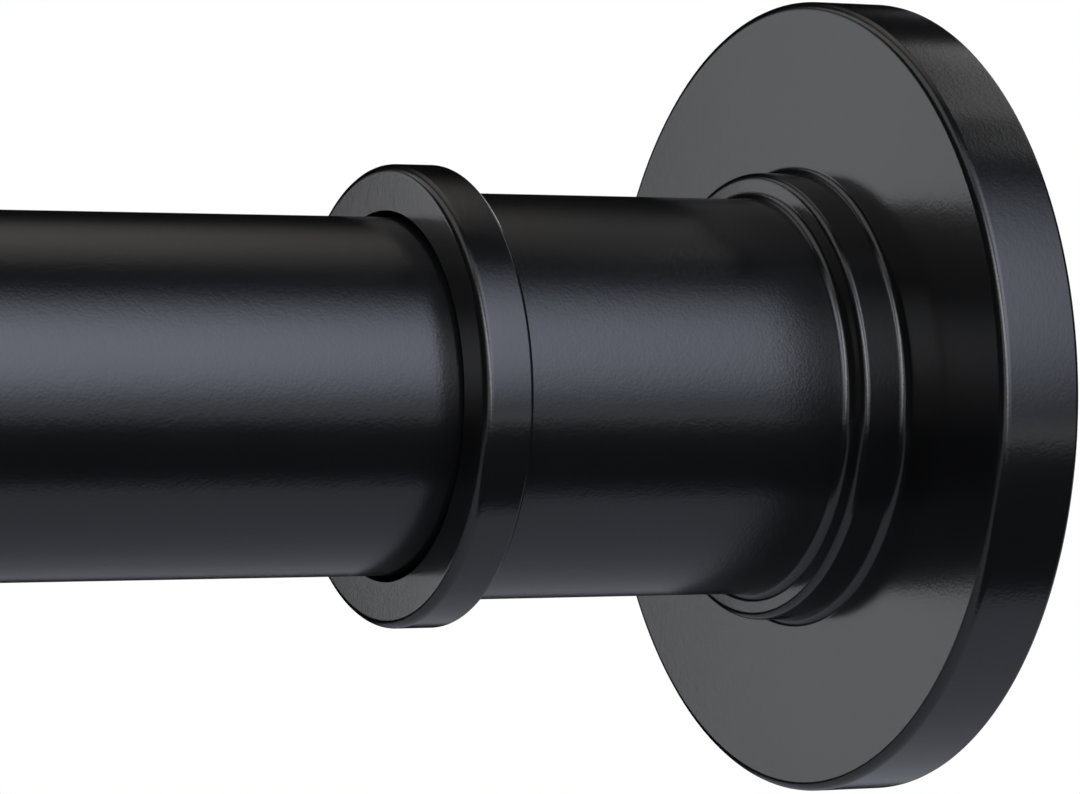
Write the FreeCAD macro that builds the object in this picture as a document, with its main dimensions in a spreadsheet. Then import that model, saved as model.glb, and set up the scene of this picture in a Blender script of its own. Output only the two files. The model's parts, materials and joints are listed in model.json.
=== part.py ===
import FreeCAD, Part
import math
import os
from types import SimpleNamespace

import Sketcher

# Spring tension rod held between two walls.
# The rod's axis is the X axis. The left wall face is at the origin and the right wall face is at +X.
# A long outer tube carries the left flange. A thinner tube slides out of it and is held at any length
# by a twist lock. The spring end on the right is a short sleeve of the outer tube's diameter with its
# own flange, pushed outwards by a coil spring inside the thinner tube.

SIZES = {
    # Whole rod, wall face to wall face
    "shortest_length": 406.4,
    "rest_extension": 40.0,
    "extension_range": 203.2,
    "tube_overlap": 70.0,
    # Outer tube and the short sleeve of the spring end
    "outer_tube_radius": 12.7,
    "outer_tube_wall": 1.2,
    # Inner tube
    "inner_tube_radius": 11.125,
    "inner_tube_wall": 1.0,
    # Flange: a disc with one step around the tube
    "flange_thickness": 5.5,
    "flange_edge": 0.6,
    "back_edge": 0.32,
    "hub_radius": 14.4,
    "hub_height": 3.06,
    "hub_edge": 0.5,
    "hub_fillet": 0.65,
    "mouth_lip_height": 0.62,
    "mouth_lip_wall": 0.07,
    "mouth_fillet": 0.55,
    "socket_floor": 1.75,
    "screw_hole_radius": 2.3,
    # Rubber pad in the back of the flange
    "pad_radius": 22.5,
    "recess_wall": 2.92,
    "pad_recess_depth": 2.25,
    "pad_proud": 0.75,
    "pad_groove_depth": 0.5,
    "pad_groove_width": 1.6,
    "pad_groove_pitch": 3.6,
    "pad_groove_first": 8.0,
    "pad_rim": 1.0,
    "pad_head_room": 0.5,
    "pip_radius": 1.4,
    "pip_height": 1.5,
    "pip_ring_radius": 17.5,
    "pip_count": 3,
    # End ring on each thick tube's mouth
    "collar_radius": 14.4,
    "collar_thickness": 3.3,
    "collar_edge": 0.6,
    "collar_lip": 1.0,
    "collar_hole_radius": 11.57,
    # Flange screw
    "screw_radius": 2.0,
    "screw_length": 14.0,
    "screw_head_radius": 4.0,
    "screw_head_height": 2.0,
    "screw_head_dome": 0.8,
    "screw_slot_width": 1.0,
    "screw_slot_length": 4.4,
    "screw_slot_depth": 1.2,
    # Plugs in the thick tubes
    "plug_wall": 1.8,
    "plug_floor": 2.0,
    "plug_boss_radius": 6.0,
    "plug_rib": 1.6,
    "plug_rib_count": 6,
    "left_plug_length": 16.0,
    "right_plug_length": 6.0,
    "rod_seat_depth": 4.0,
    # Spring end
    "sleeve_cover": 6.5,
    "spring_travel": 15.0,
    "rod_radius": 4.0,
    "rod_nose_radius": 3.0,
    "bush_length": 12.5,
    "bush_rim": 1.5,
    "bush_rim_radius": 10.9,
    "follower_length": 8.0,
    "follower_counterbore": 4.0,
    "follower_skirt": 2.0,
    "spigot_length": 3.0,
    "spigot_gap": 0.35,
    "spring_radius": 7.2,
    "wire_radius": 0.9,
    "spring_coils": 10.0,
    "spring_reserve": 8.4,
    "travel_stop_gap": 1.66,
    "seat_length": 10.0,
    "clip_width": 0.8,
    "clip_radius": 5.2,
    "clip_groove_depth": 0.7,
    "clip_gap_width": 4.2,
    "nose_end": 1.2,
    # Twist lock
    "spindle_radius": 4.0,
    "spindle_head_across": 13.0,
    "spindle_head_height": 5.3,
    "spindle_plug_length": 16.0,
    "spindle_plug_rim": 2.0,
    "spindle_plug_rim_radius": 11.3,
    "lock_length": 24.0,
    "lock_end_wall": 3.5,
    "lock_throat_radius": 6.9,
    "lock_mouth_radius": 9.6,
    "lock_slot_width": 1.6,
    "lock_slot_count": 6,
    "lock_slot_land": 4.0,
    "lock_groove_depth": 0.5,
    "lock_groove_width": 1.5,
    "lock_groove_pitch": 4.0,
    "lock_groove_count": 4,
    "cone_insertion": 14.0,
    "cone_rim": 2.0,
    "key_width": 1.2,
    "key_radius": 10.9,
    "lock_draw": 3.0,
    "clip_stop_gap": 0.5,
    # Clearances
    "press_gap": 0.02,
    "running_gap": 0.08,
    "bore_gap": 0.05,
    "end_gap": 0.1,
    "closed_gap": 5.0,
}

doc = FreeCAD.newDocument("tension_rod")
sheet = doc.addObject("Spreadsheet::Sheet", "Sizes")


class Size:
    """A length of the model: its value now, and the formula on the sheet that it follows."""

    def __init__(self, value, formula):
        self.value = value
        self.formula = formula

    def __add__(self, other):
        other = as_size(other)
        return Size(self.value + other.value, f"({self.formula} + {other.formula})")

    def __sub__(self, other):
        other = as_size(other)
        return Size(self.value - other.value, f"({self.formula} - {other.formula})")

    def __mul__(self, other):
        other = as_size(other)
        return Size(self.value * other.value, f"({self.formula} * {other.formula})")

    def __truediv__(self, other):
        other = as_size(other)
        return Size(self.value / other.value, f"({self.formula} / {other.formula})")

    def __neg__(self):
        return Size(-self.value, f"(0 - {self.formula})")

    __radd__ = __add__


def as_size(number):
    """A plain number as a length with a formula of its own."""
    return number if isinstance(number, Size) else Size(float(number), str(number))


def fill_sheet():
    """Write each driving size to the sheet and return them by name."""
    named = {}
    for row, (alias, value) in enumerate(SIZES.items(), start=1):
        sheet.set(f"A{row}", alias)
        sheet.set(f"B{row}", str(value))
        sheet.setAlias(f"B{row}", alias)
        named[alias] = Size(value, f"Sizes.{alias}")
    doc.recompute()
    return SimpleNamespace(**named)


S = fill_sheet()
ZERO = as_size(0)

# Places along an end, measured from its wall face towards the middle of the rod
flange_back = S.pad_proud
recess_floor = flange_back + S.pad_recess_depth
flange_face = flange_back + S.flange_thickness
hub_face = flange_face + S.hub_height
socket_bottom = recess_floor + S.socket_floor
plug_face = socket_bottom + S.right_plug_length
bush_face = plug_face + S.travel_stop_gap + S.spring_travel
collar_face = bush_face + S.bush_rim + S.sleeve_cover
sleeve_mouth = collar_face - S.collar_lip

# Places along the whole rod, measured from the left wall face
rest_length = S.shortest_length + S.rest_extension
shortest_bare_tube = S.spring_travel + S.closed_gap
left_collar_face = S.shortest_length - collar_face - shortest_bare_tube
left_tube_mouth = left_collar_face - S.collar_lip
inner_tube_right = rest_length - collar_face + S.sleeve_cover
inner_tube_length = S.extension_range + shortest_bare_tube + S.sleeve_cover + S.tube_overlap
inner_tube_left = inner_tube_right - inner_tube_length

# Radii that follow from a tube, a shaft or a screw
outer_bore = S.outer_tube_radius - S.outer_tube_wall
inner_bore = S.inner_tube_radius - S.inner_tube_wall
tube_socket_radius = S.outer_tube_radius + S.press_gap
recess_radius = S.pad_radius + S.running_gap
flange_radius = recess_radius + S.recess_wall
outer_plug_radius = outer_bore - S.press_gap
inner_plug_radius = inner_bore - S.press_gap
screw_bore = S.screw_radius + S.press_gap
spigot_radius = S.spring_radius - S.wire_radius - S.spigot_gap


def origin_part(body, role):
    """A body's own origin plane or axis by its role."""
    for feature in body.Origin.OriginFeatures:
        if feature.Role == role:
            return feature
    raise ValueError(f"{body.Label} has no {role}")


def new_body(label):
    """An empty body whose label is the name of the piece."""
    body = doc.addObject("PartDesign::Body", label)
    body.Label = label
    return body


def place(body, along, turned_round=False):
    """Put a body on the rod's axis; turned round, its own X points to the left."""
    half_turn = FreeCAD.Rotation(FreeCAD.Vector(0, 0, 1), 180 if turned_round else 0)
    body.Placement = FreeCAD.Placement(FreeCAD.Vector(along.value, 0, 0), half_turn)
    body.setExpression("Placement.Base.x", along.formula)


def pin_point(sketch, line, corner):
    """Tie the start of a line to a corner given as two lengths from the sketch's origin."""
    # A sketch numbers its upright axis -2 and its level axis -1; point 1 of a line is its start.
    for kind, axis, length in (("DistanceX", -2, corner[0]), ("DistanceY", -1, corner[1])):
        if abs(length.value) < 1e-9:
            sketch.addConstraint(Sketcher.Constraint("PointOnObject", line, 1, axis))
            continue
        ends = (-1, 1, line, 1) if length.value > 0 else (line, 1, -1, 1)
        index = sketch.addConstraint(Sketcher.Constraint(kind, *ends, abs(length.value)))
        formula = length.formula if length.value > 0 else (-length).formula
        sketch.setExpression(f"Constraints[{index}]", formula)


def outline(body, name, corners, plane="XY_Plane", offset=None):
    """A closed outline of straight lines, each corner bound to the sheet."""
    sketch = body.newObject("Sketcher::SketchObject", name)
    sketch.AttachmentSupport = (origin_part(body, plane), [""])
    sketch.MapMode = "FlatFace"
    if offset is not None:
        sketch.AttachmentOffset = FreeCAD.Placement(
            FreeCAD.Vector(0, 0, offset.value), FreeCAD.Rotation()
        )
        sketch.setExpression("AttachmentOffset.Base.z", offset.formula)
    corners = [(as_size(along), as_size(out)) for along, out in corners]
    points = [FreeCAD.Vector(along.value, out.value, 0) for along, out in corners]
    count = len(points)
    for start, point in enumerate(points):
        sketch.addGeometry(Part.LineSegment(point, points[(start + 1) % count]), False)
    for line in range(count):
        next_line = (line + 1) % count
        sketch.addConstraint(Sketcher.Constraint("Coincident", line, 2, next_line, 1))
    for line, corner in enumerate(corners):
        pin_point(sketch, line, corner)
    return sketch


def turned(label, corners):
    """A body turned about the rod's axis from its half section."""
    body = new_body(label)
    sketch = outline(body, f"{label}_section", corners)
    turning = body.newObject("PartDesign::Revolution", f"{label}_turning")
    turning.Profile = sketch
    turning.ReferenceAxis = (sketch, ["H_Axis"])
    turning.Angle = 360
    doc.recompute()
    return body


def ring_edges(shape, rings):
    """Names of the circular edges that lie at the given places along the axis and radii."""
    found = []
    for number, edge in enumerate(shape.Edges, start=1):
        if edge.Curve.TypeId != "Part::GeomCircle":
            continue
        for along, radius in rings:
            same_place = abs(edge.Curve.Center.x - along.value) < 1e-4
            if same_place and abs(edge.Curve.Radius - radius.value) < 1e-4:
                found.append(f"Edge{number}")
    return found


def soften(body, name, rings, radius):
    """Round the circular edges that lie at the given places."""
    base = body.Tip
    fillet = body.newObject("PartDesign::Fillet", name)
    fillet.Base = (base, ring_edges(base.Shape, rings))
    fillet.setExpression("Radius", radius.formula)
    fillet.Radius = radius.value
    body.Tip = fillet
    doc.recompute()
    return fillet


def cut_volume_check(body, before):
    """A cut has to take material away."""
    doc.recompute()
    if body.Shape.Volume >= before - 1e-6:
        raise ValueError(f"{body.Label}: {body.Tip.Label} takes nothing away")


def pocket(body, name, sketch, depth, towards_normal):
    """Cut an outline into the body to a depth, along the sketch's normal or against it."""
    before = body.Shape.Volume
    cut = body.newObject("PartDesign::Pocket", name)
    cut.Profile = sketch
    cut.Length = depth.value
    cut.setExpression("Length", depth.formula)
    cut.Reversed = towards_normal
    cut_volume_check(body, before)
    return cut


def repeat_round(body, name, feature, count):
    """Copies of a feature spread evenly round the rod's axis."""
    pattern = body.newObject("PartDesign::PolarPattern", name)
    pattern.Originals = [feature]
    pattern.Axis = (origin_part(body, "X_Axis"), [""])
    pattern.Angle = 360
    pattern.setExpression("Occurrences", count.formula)
    pattern.Occurrences = int(count.value)
    body.Tip = pattern
    doc.recompute()
    return pattern


def rectangle(low, high):
    """The four corners of an upright rectangle."""
    return [low, (high[0], low[1]), high, (low[0], high[1])]


def flange(label):
    """Disc with one step, a socket for the tube on the front and a recess for the pad behind."""
    lip_top = hub_face + S.mouth_lip_height
    lip_outside = tube_socket_radius + S.mouth_lip_wall
    body = turned(label, [
        (flange_back, recess_radius),
        (flange_back, flange_radius),
        (flange_face, flange_radius),
        (flange_face, S.hub_radius),
        (hub_face, S.hub_radius),
        (hub_face, lip_outside),
        (lip_top, lip_outside),
        (lip_top, tube_socket_radius),
        (socket_bottom, tube_socket_radius),
        (socket_bottom, S.screw_hole_radius),
        (recess_floor, S.screw_hole_radius),
        (recess_floor, recess_radius),
    ])
    soften(body, f"{label}_mouth", [(hub_face, lip_outside)], S.mouth_fillet)
    soften(body, f"{label}_step", [(flange_face, S.hub_radius)], S.hub_fillet)
    soften(body, f"{label}_step_edge", [(hub_face, S.hub_radius)], S.hub_edge)
    soften(body, f"{label}_edge", [(flange_face, flange_radius)], S.flange_edge)
    soften(body, f"{label}_back_edge", [(flange_back, flange_radius)], S.back_edge)
    pip_hole = S.pip_radius + S.press_gap
    before = body.Shape.Volume
    sketch = body.newObject("Sketcher::SketchObject", f"{label}_pip_hole_outline")
    hole_circle(body, sketch, pip_hole, recess_floor)
    cut = pocket(body, f"{label}_pip_hole", sketch, S.pip_height + S.end_gap, True)
    repeat_round(body, f"{label}_pip_holes", cut, S.pip_count)
    cut_volume_check(body, before)
    return body


def hole_circle(body, sketch, radius, along):
    """A circle on the ring of pips, across the axis."""
    sketch.AttachmentSupport = (origin_part(body, "YZ_Plane"), [""])
    sketch.MapMode = "FlatFace"
    sketch.AttachmentOffset = FreeCAD.Placement(
        FreeCAD.Vector(0, 0, along.value), FreeCAD.Rotation()
    )
    sketch.setExpression("AttachmentOffset.Base.z", along.formula)
    centre = FreeCAD.Vector(0, S.pip_ring_radius.value, 0)
    sketch.addGeometry(Part.Circle(centre, FreeCAD.Vector(0, 0, 1), radius.value), False)
    sketch.addConstraint(Sketcher.Constraint("PointOnObject", 0, 3, -2))
    out = sketch.addConstraint(
        Sketcher.Constraint("DistanceY", -1, 1, 0, 3, S.pip_ring_radius.value)
    )
    sketch.setExpression(f"Constraints[{out}]", S.pip_ring_radius.formula)
    across = sketch.addConstraint(Sketcher.Constraint("Radius", 0, radius.value))
    sketch.setExpression(f"Constraints[{across}]", radius.formula)


def pad(label):
    """Rubber disc with ring grooves on its wall side, room for the screw head and moulded pips."""
    head_room = S.screw_head_radius + S.pad_head_room
    head_floor = recess_floor - S.screw_head_height - S.end_gap
    corners = [(ZERO, ZERO)]
    groove = S.pad_groove_first
    while groove.value + S.pad_groove_width.value < S.pad_radius.value - S.pad_rim.value:
        outer = groove + S.pad_groove_width
        corners += [
            (ZERO, groove),
            (S.pad_groove_depth, groove),
            (S.pad_groove_depth, outer),
            (ZERO, outer),
        ]
        groove = groove + S.pad_groove_pitch
    corners += [
        (ZERO, S.pad_radius),
        (recess_floor, S.pad_radius),
        (recess_floor, head_room),
        (head_floor, head_room),
        (head_floor, ZERO),
    ]
    body = turned(label, corners)
    sketch = body.newObject("Sketcher::SketchObject", f"{label}_pip_outline")
    hole_circle(body, sketch, S.pip_radius, recess_floor)
    pip = body.newObject("PartDesign::Pad", f"{label}_pip")
    pip.Profile = sketch
    pip.Length = S.pip_height.value
    pip.setExpression("Length", S.pip_height.formula)
    doc.recompute()
    repeat_round(body, f"{label}_pips", pip, S.pip_count)
    return body


def flange_screw(label):
    """Pan head screw with a cross recess; its thread is left plain."""
    head_top = recess_floor - S.screw_head_height
    shank_end = recess_floor + S.screw_length
    body = turned(label, [
        (head_top, ZERO),
        (head_top, S.screw_head_radius),
        (recess_floor, S.screw_head_radius),
        (recess_floor, S.screw_radius),
        (shank_end, S.screw_radius),
        (shank_end, ZERO),
    ])
    soften(body, f"{label}_dome", [(head_top, S.screw_head_radius)], S.screw_head_dome)
    half_width = S.screw_slot_width / 2
    half_length = S.screw_slot_length / 2
    for across, (half_y, half_z) in enumerate(((half_length, half_width), (half_width, half_length))):
        sketch = outline(
            body,
            f"{label}_slot_outline_{across}",
            rectangle((-half_y, -half_z), (half_y, half_z)),
            plane="YZ_Plane",
            offset=head_top,
        )
        pocket(body, f"{label}_slot_{across}", sketch, S.screw_slot_depth, True)
    return body


def collar(label):
    """End ring pushed over a thick tube's mouth, with a lip that covers the cut edge."""
    back = collar_face - S.collar_thickness
    body = turned(label, [
        (back, tube_socket_radius),
        (back, S.collar_radius),
        (collar_face, S.collar_radius),
        (collar_face, S.collar_hole_radius),
        (sleeve_mouth, S.collar_hole_radius),
        (sleeve_mouth, tube_socket_radius),
    ])
    soften(body, f"{label}_edge", [(collar_face, S.collar_radius)], S.collar_edge)
    soften(body, f"{label}_back_edge", [(back, S.collar_radius)], S.back_edge)
    return body


def end_plug(label, length, seat_radius=None):
    """Moulded plug in a thick tube's end, ribbed between its wall and its boss."""
    inner_end = socket_bottom + length
    corners = [
        (socket_bottom, screw_bore),
        (socket_bottom, outer_plug_radius),
        (inner_end, outer_plug_radius),
    ]
    if seat_radius is None:
        corners.append((inner_end, screw_bore))
    else:
        seat_floor = inner_end - S.rod_seat_depth
        corners += [(inner_end, seat_radius), (seat_floor, seat_radius), (seat_floor, screw_bore)]
    body = turned(label, corners)
    wall_inside = outer_plug_radius - S.plug_wall
    half_angle = math.pi / SIZES["plug_rib_count"]
    half_rib = S.plug_rib / 2
    # A pocket between two ribs is a wedge, cut from the inner end down to the floor.
    near = S.plug_boss_radius
    near_half = near * math.tan(half_angle) - half_rib / math.cos(half_angle)
    far = wall_inside * math.cos(half_angle)
    far_half = far * math.tan(half_angle) - half_rib / math.cos(half_angle)
    sketch = outline(
        body,
        f"{label}_pocket_outline",
        [(-near_half, near), (near_half, near), (far_half, far), (-far_half, far)],
        plane="YZ_Plane",
        offset=inner_end,
    )
    cut = pocket(body, f"{label}_pocket", sketch, length - S.plug_floor, False)
    repeat_round(body, f"{label}_pockets", cut, S.plug_rib_count)
    return body


def tube(label, start, end, radius, bore):
    """A plain drawn tube."""
    length = end - start
    body = turned(label, [
        (ZERO, bore),
        (ZERO, radius),
        (length, radius),
        (length, bore),
    ])
    place(body, start)
    return body


def end_fittings(side, turned_round):
    """Flange, pad and screw of one end."""
    wall = rest_length if turned_round else ZERO
    for body in (
        flange(f"{side}_flange"),
        pad(f"{side}_pad"),
        flange_screw(f"{side}_flange_screw"),
    ):
        place(body, wall, turned_round)


def left_end():
    """The long outer tube with its fittings."""
    end_fittings("left", False)
    tube("outer_tube", socket_bottom, left_tube_mouth, S.outer_tube_radius, outer_bore)
    plug = end_plug("left_end_plug", S.left_plug_length)
    place(plug, ZERO)
    ring = collar("left_collar")
    place(ring, left_collar_face - collar_face)


def spring_sleeve():
    """Short sleeve of the outer tube's diameter that covers the end of the inner tube."""
    body = turned("spring_sleeve", [
        (socket_bottom, outer_bore),
        (socket_bottom, S.outer_tube_radius),
        (sleeve_mouth, S.outer_tube_radius),
        (sleeve_mouth, outer_bore),
    ])
    place(body, rest_length, True)


# Places along the spring end, measured from the right wall face towards the middle of the rod
rod_foot = plug_face - S.rod_seat_depth
tube_end = bush_face + S.bush_rim
bush_inner_end = tube_end + S.bush_length
follower_start = bush_inner_end + S.end_gap
rod_shoulder = follower_start + S.follower_counterbore
spring_start = follower_start + S.follower_length
follower_end = spring_start + S.spigot_length
clip_start = follower_end + S.end_gap
rod_end = clip_start + S.clip_width + S.nose_end
closed_coils = 2
spring_solid = (S.spring_coils + closed_coils) * S.wire_radius * 2
spring_length = spring_solid + S.spring_travel + S.spring_reserve
spring_end_place = spring_start + spring_length
seat_end = spring_end_place + S.seat_length
groove_radius = S.rod_nose_radius - S.clip_groove_depth


def plunger_rod():
    """Steel rod from the right end plug through the bush; its foot is tapped for the flange screw."""
    tapped_depth = recess_floor + S.screw_length + S.nose_end
    groove_end = clip_start + S.clip_width
    body = turned("plunger_rod", [
        (rod_foot, screw_bore),
        (rod_foot, S.rod_radius),
        (rod_shoulder, S.rod_radius),
        (rod_shoulder, S.rod_nose_radius),
        (clip_start, S.rod_nose_radius),
        (clip_start, groove_radius),
        (groove_end, groove_radius),
        (groove_end, S.rod_nose_radius),
        (rod_end, S.rod_nose_radius),
        (rod_end, ZERO),
        (tapped_depth, ZERO),
        (tapped_depth, screw_bore),
    ])
    place(body, rest_length, True)


def guide_bush():
    """Plastic bush in the inner tube's mouth that guides the rod and stops the follower."""
    bore = S.rod_radius + S.running_gap
    body = turned("guide_bush", [
        (bush_face, bore),
        (bush_face, S.bush_rim_radius),
        (tube_end, S.bush_rim_radius),
        (tube_end, inner_plug_radius),
        (bush_inner_end, inner_plug_radius),
        (bush_inner_end, bore),
    ])
    place(body, rest_length, True)


def spring_follower():
    """Disc on the rod's inner end that slides in the inner tube and carries the spring."""
    slide_radius = inner_bore - S.bore_gap
    waist = slide_radius - S.follower_skirt
    shoulder_bore = S.rod_radius + S.press_gap
    nose_bore = S.rod_nose_radius + S.press_gap
    first_land = follower_start + S.follower_skirt
    second_land = spring_start - S.follower_skirt
    body = turned("spring_follower", [
        (follower_start, shoulder_bore),
        (follower_start, slide_radius),
        (first_land, slide_radius),
        (first_land, waist),
        (second_land, waist),
        (second_land, slide_radius),
        (spring_start, slide_radius),
        (spring_start, spigot_radius),
        (follower_end, spigot_radius),
        (follower_end, nose_bore),
        (rod_shoulder, nose_bore),
        (rod_shoulder, shoulder_bore),
    ])
    place(body, rest_length, True)


def snap_clip(label, start, groove, along, turned_round):
    """Spring steel clip in a groove, open on one side so that it can be pushed on."""
    inner = groove + S.press_gap
    half_play = S.press_gap / 2
    low = start + half_play
    high = start + S.clip_width - half_play
    body = turned(label, rectangle((low, inner), (high, S.clip_radius)))
    half_gap = S.clip_gap_width / 2
    sketch = outline(
        body,
        f"{label}_opening_outline",
        rectangle((-half_gap, ZERO), (half_gap, S.clip_radius + S.clip_width)),
        plane="YZ_Plane",
        offset=low,
    )
    pocket(body, f"{label}_opening", sketch, S.clip_width, True)
    place(body, along, turned_round)


def spring_seat():
    """Plug fixed in the inner tube that the spring pushes against."""
    spigot_end = spring_end_place - S.spigot_length
    body = turned("spring_seat", [
        (spigot_end, ZERO),
        (spigot_end, spigot_radius),
        (spring_end_place, spigot_radius),
        (spring_end_place, inner_plug_radius),
        (seat_end, inner_plug_radius),
        (seat_end, ZERO),
    ])
    place(body, rest_length, True)


def coil_spring():
    """Compression spring with a closed coil at each end, drawn along its own centre line."""
    wire = S.wire_radius.value
    radius = S.spring_radius.value
    end_gap = S.end_gap.value
    closed_pitch = 2 * wire + end_gap
    open_length = spring_length.value - 2 * (wire + end_gap) - closed_coils * closed_pitch
    open_pitch = open_length / S.spring_coils.value
    path = []
    height = 0.0
    turn = 0.0
    for pitch, length in (
        (closed_pitch, closed_pitch),
        (open_pitch, open_length),
        (closed_pitch, closed_pitch),
    ):
        helix = Part.makeHelix(pitch, length, radius)
        helix.rotate(FreeCAD.Vector(), FreeCAD.Vector(0, 0, 1), math.degrees(turn))
        helix.translate(FreeCAD.Vector(0, 0, height))
        path += helix.Edges
        height += length
        turn += 2 * math.pi * length / pitch
    spine = Part.Wire(path)
    first = path[0]
    tangent = first.tangentAt(first.FirstParameter)
    section = Part.Wire([Part.makeCircle(wire, FreeCAD.Vector(radius, 0, 0), tangent)])
    coil = spine.makePipeShell([section], True, True)
    feature = doc.addObject("Part::Feature", "coil_spring")
    feature.Label = "coil_spring"
    feature.Shape = coil
    start = rest_length - spring_start - wire - end_gap
    along_the_rod = FreeCAD.Rotation(FreeCAD.Vector(0, 1, 0), -90)
    feature.Placement = FreeCAD.Placement(FreeCAD.Vector(start.value, 0, 0), along_the_rod)


# Places along the twist lock, measured from the inner tube's left end towards the left
lock_start = S.spindle_plug_rim + S.end_gap
lock_mouth = lock_start + S.lock_length
taper_start = lock_start + S.lock_end_wall
taper_length = lock_mouth - taper_start
taper_slope = (S.lock_mouth_radius - S.lock_throat_radius) / taper_length
cone_tip = lock_mouth - S.cone_insertion
cone_base = lock_mouth + S.cone_rim
stop_clip_start = cone_base + S.lock_draw + S.clip_stop_gap
spindle_end = stop_clip_start + S.clip_width + S.nose_end


def taper_radius(place_along):
    """Radius of the lock sleeve's tapered bore at a place along it."""
    return S.lock_throat_radius + (place_along - taper_start) * taper_slope


def spindle_plug():
    """Plastic plug in the inner tube's left end, with a hexagonal seat for the spindle's head."""
    bore = S.spindle_radius + S.press_gap
    body = turned("spindle_plug", [
        (-S.spindle_plug_length, bore),
        (-S.spindle_plug_length, inner_plug_radius),
        (ZERO, inner_plug_radius),
        (ZERO, S.spindle_plug_rim_radius),
        (S.spindle_plug_rim, S.spindle_plug_rim_radius),
        (S.spindle_plug_rim, bore),
    ])
    sketch = outline(
        body,
        "spindle_plug_seat_outline",
        hexagon(S.spindle_head_across + S.press_gap * 2),
        plane="YZ_Plane",
        offset=-S.spindle_plug_length,
    )
    pocket(body, "spindle_plug_seat", sketch, S.spindle_head_height, True)
    place(body, inner_tube_left, True)


def hexagon(across_flats):
    """Corners of a hexagon with two flats upright."""
    half = across_flats / 2
    side = across_flats * (1 / math.sqrt(3))
    half_side = side / 2
    return [
        (half, -half_side),
        (half, half_side),
        (ZERO, side),
        (-half, half_side),
        (-half, -half_side),
        (ZERO, -side),
    ]


def lock_spindle():
    """Hexagon head screw held in the plug; the cone rides on its end. Its thread is left plain."""
    head_start = S.spindle_head_height - S.spindle_plug_length
    groove_end = stop_clip_start + S.clip_width
    bottom = S.spindle_radius - S.clip_groove_depth
    body = turned("lock_spindle", [
        (head_start, ZERO),
        (head_start, S.spindle_radius),
        (stop_clip_start, S.spindle_radius),
        (stop_clip_start, bottom),
        (groove_end, bottom),
        (groove_end, S.spindle_radius),
        (spindle_end, S.spindle_radius),
        (spindle_end, ZERO),
    ])
    sketch = outline(
        body,
        "lock_spindle_head_outline",
        hexagon(S.spindle_head_across),
        plane="YZ_Plane",
        offset=head_start,
    )
    head = body.newObject("PartDesign::Pad", "lock_spindle_head")
    head.Profile = sketch
    head.Length = S.spindle_head_height.value
    head.setExpression("Length", S.spindle_head_height.formula)
    head.Reversed = True
    doc.recompute()
    place(body, inner_tube_left, True)


def lock_sleeve():
    """Slotted sleeve that the cone spreads against the outer tube's bore."""
    outside = outer_bore - S.bore_gap
    bottom = outside - S.lock_groove_depth
    hole = S.spindle_radius + S.running_gap * 2
    corners = [(lock_start, hole), (lock_start, outside)]
    groove = lock_start + S.lock_end_wall + S.lock_groove_pitch / 2
    for number in range(SIZES["lock_groove_count"]):
        start = groove + S.lock_groove_pitch * number
        end = start + S.lock_groove_width
        corners += [(start, outside), (start, bottom), (end, bottom), (end, outside)]
    corners += [
        (lock_mouth, outside),
        (lock_mouth, S.lock_mouth_radius),
        (taper_start, S.lock_throat_radius),
        (taper_start, hole),
    ]
    body = turned("lock_sleeve", corners)
    half_slot = S.lock_slot_width / 2
    slot_end = taper_start + S.lock_slot_land
    sketch = outline(
        body,
        "lock_sleeve_slot_outline",
        rectangle((slot_end, -half_slot), (lock_mouth + S.end_gap, half_slot)),
    )
    cut = pocket(body, "lock_sleeve_slot", sketch, outside + S.end_gap, True)
    repeat_round(body, "lock_sleeve_slots", cut, S.lock_slot_count)
    place(body, inner_tube_left, True)


def cone_nut():
    """Cone on the spindle's thread; its keys run in the lock sleeve's slots and stop it turning."""
    bore = S.spindle_radius + S.running_gap
    tip_radius = taper_radius(cone_tip) - S.end_gap
    mouth_radius = taper_radius(lock_mouth) - S.end_gap
    body = turned("cone_nut", [
        (cone_tip, bore),
        (cone_tip, tip_radius),
        (lock_mouth, mouth_radius),
        (cone_base, mouth_radius),
        (cone_base, bore),
    ])
    half_key = S.key_width / 2
    key_tip = cone_tip + S.lock_draw
    sketch = outline(
        body,
        "cone_nut_key_outline",
        rectangle((key_tip, -half_key), (cone_base, half_key)),
        offset=bore + S.bore_gap,
    )
    key = body.newObject("PartDesign::Pad", "cone_nut_key")
    key.Profile = sketch
    reach = S.key_radius - bore - S.bore_gap
    key.Length = reach.value
    key.setExpression("Length", reach.formula)
    doc.recompute()
    repeat_round(body, "cone_nut_keys", key, S.lock_slot_count)
    place(body, inner_tube_left, True)


def spring_end():
    """Everything that moves with the right flange."""
    end_fittings("right", True)
    spring_sleeve()
    ring = collar("right_collar")
    place(ring, rest_length, True)
    seat_radius = S.rod_radius + S.press_gap
    plug = end_plug("right_end_plug", S.right_plug_length, seat_radius)
    place(plug, rest_length, True)
    plunger_rod()
    spring_follower()
    snap_clip("follower_clip", clip_start, groove_radius, rest_length, True)


def inner_tube_group():
    """The inner tube and what is fixed inside it."""
    tube("inner_tube", inner_tube_left, inner_tube_right, S.inner_tube_radius, inner_bore)
    guide_bush()
    coil_spring()
    spring_seat()
    spindle_plug()
    lock_spindle()
    spindle_groove = S.spindle_radius - S.clip_groove_depth
    snap_clip("spindle_clip", stop_clip_start, spindle_groove, inner_tube_left, True)


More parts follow.
